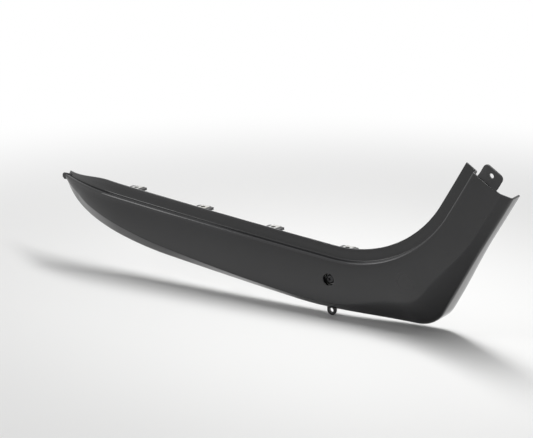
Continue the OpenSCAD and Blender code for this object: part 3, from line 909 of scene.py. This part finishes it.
def helix(name, root, crest, pitch, start, turns, centre=(0, 0, 0), axis="Y"):
    """Ridge of a thread: a section turned and lifted by the Screw modifier, its root sunk in the metal."""
    start_clean()
    bpy.ops.mesh.primitive_circle_add(vertices=4, radius=0.001, fill_type="NOTHING")
    obj = named(name)
    sunk = root - math.copysign(0.12, crest - root)
    section = [(sunk, 0.0), (crest, pitch * 0.44), (crest, pitch * 0.56), (sunk, pitch * 0.96)]
    for v, (r, a) in zip(obj.data.vertices, section):
        v.co = Vector((r, 0, a)) * 0.001
    steps = int(40 * turns)
    apply_modifier(obj, "SCREW", axis="Z", angle=math.radians(360 * turns),
                   screw_offset=pitch * turns * 0.001, iterations=1,
                   steps=steps, render_steps=steps, use_merge_vertices=False)
    edit(obj, "EDGE")
    bpy.ops.mesh.select_all(action="DESELECT")
    bpy.ops.mesh.select_non_manifold()
    bpy.ops.mesh.edge_face_add()
    done()
    along = Vector((0, 0, start))
    if axis == "Y":
        obj.data.transform(Matrix.Rotation(math.radians(-90), 4, "X"))
        along = Vector((0, start, 0))
    obj.data.transform(Matrix.Translation((Vector(centre) + along) * 0.001))
    return outward(obj)


def join(target, *others):
    start_clean()
    for o in (target, *others):
        o.select_set(True)
    bpy.context.view_layer.objects.active = target
    bpy.ops.object.join()
    return target


def recess_cutter(seat):
    """Tapered cross recess: two wings, narrower at their bottom, and a cone between them."""
    top = seat - HEAD_H
    tools = []
    for a in (0, 90):
        start_clean()
        bpy.ops.mesh.primitive_cube_add(size=1, location=(0, (top + 0.8) * 0.001, 0))
        bpy.context.object.scale = Vector((RECESS_SPAN, RECESS_DEPTH, RECESS_WIDTH)) * 0.001
        wing = named("recess_wing")
        for v in wing.data.vertices:
            if v.co.y > (top + 0.8) * 0.001:
                v.co.x *= 0.42
                v.co.z *= 0.8
        wing.data.transform(Matrix.Rotation(math.radians(a + RECESS_TURN), 4, "Y"))
        tools.append(wing)
    cone = outward(turned("recess_cone", [(1.9, top - 0.5), (1.35, top + 1.6), (0.3, top + 2.5)]))
    cut(tools[0], tools[1], "UNION")
    return cut(tools[0], cone, "UNION")


def make_screw():
    """Domed pan head, plain neck in the collar, threaded shank with a blunt tip."""
    seat = -THREAD_START - POCKET_FLOOR - COLLAR_FLANGE
    dome = [(0.6, -4.0), (1.6, -3.985), (2.6, -3.93), (3.5, -3.78), (4.3, -3.5), (4.95, -3.08),
            (5.42, -2.55), (5.75, -1.95), (5.94, -1.3), (6.0, -0.7), (6.0, -0.35), (5.9, -0.12), (5.7, 0.0)]
    neck_r = NECK_D / 2
    shank = [(neck_r + 0.3, 0), (neck_r, 0.3), (neck_r, -seat - 0.15), (SCREW_ROOT_R, -seat + 0.25),
             (SCREW_ROOT_R, SCREW_LENGTH - 1.0), (2.0, SCREW_LENGTH), (0.4, SCREW_LENGTH)]
    rings = [(r, seat + a) for r, a in dome + shank]
    screw = outward(turned("side_screw_head_and_shank", rings, vertices=72))
    cut(screw, recess_cutter(seat))
    thread = helix("thread", SCREW_ROOT_R, SCREW_D / 2, SCREW_PITCH, 0.0, SCREW_TURNS)
    join(screw, thread)
    screw.name = screw.data.name = "side_screw_black"
    finish_with(screw, BLACK_STEEL)
    smooth(screw, 35)
    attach(screw, "root")
    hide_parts("side_screw")


def make_collar():
    """Flanged steel sleeve that the screw clamps against the bracket."""
    seat = -THREAD_START - POCKET_FLOOR - COLLAR_FLANGE
    bore = SCREW_D / 2 + SCREW_PLAY
    sleeve = bore + COLLAR_WALL
    f = COLLAR_FLANGE_D / 2
    under = -THREAD_START - POCKET_FLOOR
    end = -THREAD_START
    rings = [(bore + 0.15, seat), (f - 0.3, seat), (f - 0.08, seat + 0.08), (f, seat + 0.3),
             (f, under - 0.25), (f - 0.2, under), (sleeve, under), (sleeve, end - 0.2), (sleeve - 0.2, end),
             (bore + 0.15, end), (bore, end - 0.15), (bore, seat + 0.15)]
    collar = ring_turned("screw_collar_zinc", rings, vertices=72)
    finish_with(collar, ZINC)
    smooth(collar, 35)
    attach(collar, "root")
    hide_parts("screw_collar")


# The spring nuts

def bent_strip(name, width, path):
    """Strip of sheet: one edge carried along a bent path in the Y-Z plane, in millimetres."""
    start_clean()
    bpy.ops.mesh.primitive_plane_add(size=0.01)
    obj = named(name)
    edit(obj, "VERT")
    bpy.ops.mesh.select_all(action="DESELECT")
    done()
    for v in obj.data.vertices:
        v.select = v.co.y > 0
    edit(obj, "VERT")
    bpy.ops.mesh.delete(type="VERT")
    done()
    for v, s in zip(obj.data.vertices, (-1, 1)):
        v.co = Vector((s * width / 2, path[0][0], path[0][1])) * 0.001
    edit(obj, "EDGE")
    bpy.ops.mesh.select_all(action="SELECT")
    for (a, b), (c, e) in zip(path, path[1:]):
        move = (0, (c - a) * 0.001, (e - b) * 0.001)
        bpy.ops.mesh.extrude_region_move(TRANSFORM_OT_translate={"value": move})
    done()
    return obj


def bend(y, z, r, start, end, steps=6):
    return [(y + r * math.cos(math.radians(start + (end - start) * k / steps)),
             z + r * math.sin(math.radians(start + (end - start) * k / steps))) for k in range(steps + 1)]


def make_spring_nut():
    """One spring nut over a tab whose end is at y 0 and whose top is at z 0, at x 0."""
    m = NUT_SHEET / 2
    low = -TAB_THICK
    back = -NUT_LENGTH
    # middle line of the sheet: lower leaf, bends round the tab's end, upper leaf, both with flared ends
    path = [(back - 0.85, low - m - 0.75), (back + 0.2, low - m - 0.5), (back + 1.6, low - m - 0.05),
            (back + 2.4, low - m)]
    path += bend(m - NUT_BEND, low - m + NUT_BEND, NUT_BEND, -90, 0)
    path += bend(m - NUT_BEND, m - NUT_BEND, NUT_BEND, 0, 90)
    path += [(back + 0.9, m), (back - 0.3, m + 0.35), (back - 1.3, m + 0.95)]
    strip = bent_strip("spring_nut", NUT_WIDTH - 0.2, path)
    apply_modifier(strip, "SOLIDIFY", thickness=NUT_SHEET * 0.001, offset=0.0, use_even_offset=True)
    outward(strip)
    soften(strip, 0.14, 2, 40)
    centre = (0, -NUT_LENGTH * NUT_MIDDLE, 0)
    under = low - NUT_SHEET
    foot = under - NUT_NECK
    outer = NUT_NECK_D / 2
    room = NUT_CORE_D / 2 + 1.2
    cut(strip, outward(turned("nut_hole", [(room, -1), (room, 2)], centre, "Z")), solver="EXACT")
    neck_hole = [(outer - 0.35, under - 1), (outer - 0.35, low + 0.5)]
    cut(strip, outward(turned("neck_hole", neck_hole, centre, "Z")), solver="EXACT")
    core = NUT_CORE_D / 2 + 0.42
    rings = [(outer - 0.3, low - 0.02), (core + 0.2, low - 0.02), (core, low - 0.3), (core, foot + 0.3),
             (core + 0.25, foot), (outer - 0.25, foot), (outer - 0.05, foot + 0.25),
             (outer - 0.05, under - 0.5), (outer, under - 0.05), (outer, under + 0.2)]
    neck = ring_turned("nut_neck", rings, centre, "Z", 48)
    thread = helix("nut_thread", core, NUT_CORE_D / 2, NUT_PITCH, foot + 0.25, NUT_TURNS, centre, "Z")
    join(strip, neck, thread)
    finish_with(strip, ZINC)
    smooth(strip, 38)
    return strip


def make_spring_nuts():
    first = make_spring_nut()
    for i in range(TABS):
        x, top, _, end = tab_place(i)
        copy = first.copy()
        copy.data = first.data.copy()
        copy.name = copy.data.name = f"spring_nut_{i + 1}"
        copy.data.transform(Matrix.Translation(Vector((x, end, top)) * 0.001))
        bpy.context.scene.collection.objects.link(copy)
        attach(copy, "root")
        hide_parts("clip_nuts")
    bpy.data.objects.remove(first)


make_panel()
make_screw()
make_collar()
make_spring_nuts()

# Floor, light and camera, in metres and watts
FLOOR_SIZE, FLOOR_GAP = 14, 0.0004
FADE_FROM, FADE_TO = 0.4, 1.3
WORLD_LIGHT = 0.24
CAMERA_PLACE = Vector((1.45413, -2.24907, 0.7841))
CAMERA_AIM = Vector((-0.105, 0.0, 0.062))
CAMERA_ROLL = 0.0074
CAMERA_LENS = 146


def seen_directly(tree):
    """1 for camera, glossy and transmission rays, 0 for the light that falls on the object."""
    rays = node(tree, "ShaderNodeLightPath")
    seen = sums(tree, "MAXIMUM", rays.outputs["Is Camera Ray"], rays.outputs["Is Glossy Ray"])
    return sums(tree, "MAXIMUM", seen, rays.outputs["Is Transmission Ray"])


def floor_material():
    """Pale paper that turns into the white backdrop away from the object."""
    m, t, shader = material("pale_paper_floor", Roughness=0.65)
    place = object_place(t)
    colour = (0.82, 0.82, 0.815)
    cloudy = blend_colour(t, noise(t, place, 3, 3), colour, tuple(c * 0.985 for c in colour))
    t.links.new(cloudy, shader.inputs["Base Color"])
    t.links.new(bump(t, noise(t, place, 900, 2), 0.00002), shader.inputs["Normal"])
    far = node(t, "ShaderNodeVectorMath", operation="LENGTH")
    t.links.new(node(t, "ShaderNodeTexCoord").outputs["Object"], far.inputs[0])
    fade = node(t, "ShaderNodeMapRange", interpolation_type="SMOOTHSTEP")
    t.links.new(far.outputs["Value"], fade.inputs["Value"])
    fade.inputs["From Min"].default_value, fade.inputs["From Max"].default_value = FADE_FROM, FADE_TO
    white = node(t, "ShaderNodeEmission", Strength=1.0)
    pick = node(t, "ShaderNodeMixShader")
    t.links.new(sums(t, "MULTIPLY", fade.outputs["Result"], seen_directly(t)), pick.inputs[0])
    t.links.new(shader.outputs[0], pick.inputs[1])
    t.links.new(white.outputs[0], pick.inputs[2])
    t.links.new(pick.outputs[0], t.nodes["Material Output"].inputs["Surface"])
    return m


start_clean()
bpy.ops.mesh.primitive_plane_add(size=FLOOR_SIZE, location=(0, 0, CAD_BOX[0][2] - FLOOR_GAP))
floor = named("floor")
finish_with(floor, floor_material())

world = bpy.data.worlds.new("soft_studio")
bpy.context.scene.world = world
world.use_nodes = True
wt = world.node_tree
ground = wt.nodes["Background"]
ground.inputs["Color"].default_value = (1, 1, 1, 1)
ground.inputs["Strength"].default_value = WORLD_LIGHT
seen = wt.nodes.new("ShaderNodeBackground")
seen.inputs["Color"].default_value = (1, 1, 1, 1)
seen.inputs["Strength"].default_value = 1.0
pick = wt.nodes.new("ShaderNodeMixShader")
wt.links.new(seen_directly(wt), pick.inputs[0])
wt.links.new(ground.outputs[0], pick.inputs[1])
wt.links.new(seen.outputs[0], pick.inputs[2])
wt.links.new(pick.outputs[0], wt.nodes["World Output"].inputs[0])


def lamp(name, place, aim, size, power):
    light = bpy.data.lights.new(name, "AREA")
    light.shape = "RECTANGLE"
    light.size, light.size_y = size
    light.energy = power
    obj = bpy.data.objects.new(name, light)
    bpy.context.scene.collection.objects.link(obj)
    obj.location = place
    obj.rotation_euler = (Vector(aim) - Vector(place)).to_track_quat("-Z", "Y").to_euler()


lamp("soft_box_over", (0.05, 0.16, 0.9), (-0.05, 0, 0.05), (1.2, 0.2), 10.6)
lamp("soft_box_left", (-1.2, -1.0, 0.75), (-0.1, 0, 0.05), (0.5, 0.9), 4.7)

camera_data = bpy.data.cameras.new("camera")
camera = bpy.data.objects.new("camera", camera_data)
bpy.context.scene.collection.objects.link(camera)
camera.location = CAMERA_PLACE
way = (CAMERA_AIM - CAMERA_PLACE).to_track_quat("-Z", "Y")
camera.rotation_euler = (way.to_matrix() @ Matrix.Rotation(CAMERA_ROLL, 3, "Z")).to_euler()
camera_data.lens = CAMERA_LENS
camera_data.sensor_width = 36
camera_data.clip_start = 0.01
bpy.context.scene.camera = camera

bpy.context.scene.view_settings.view_transform = "Standard"
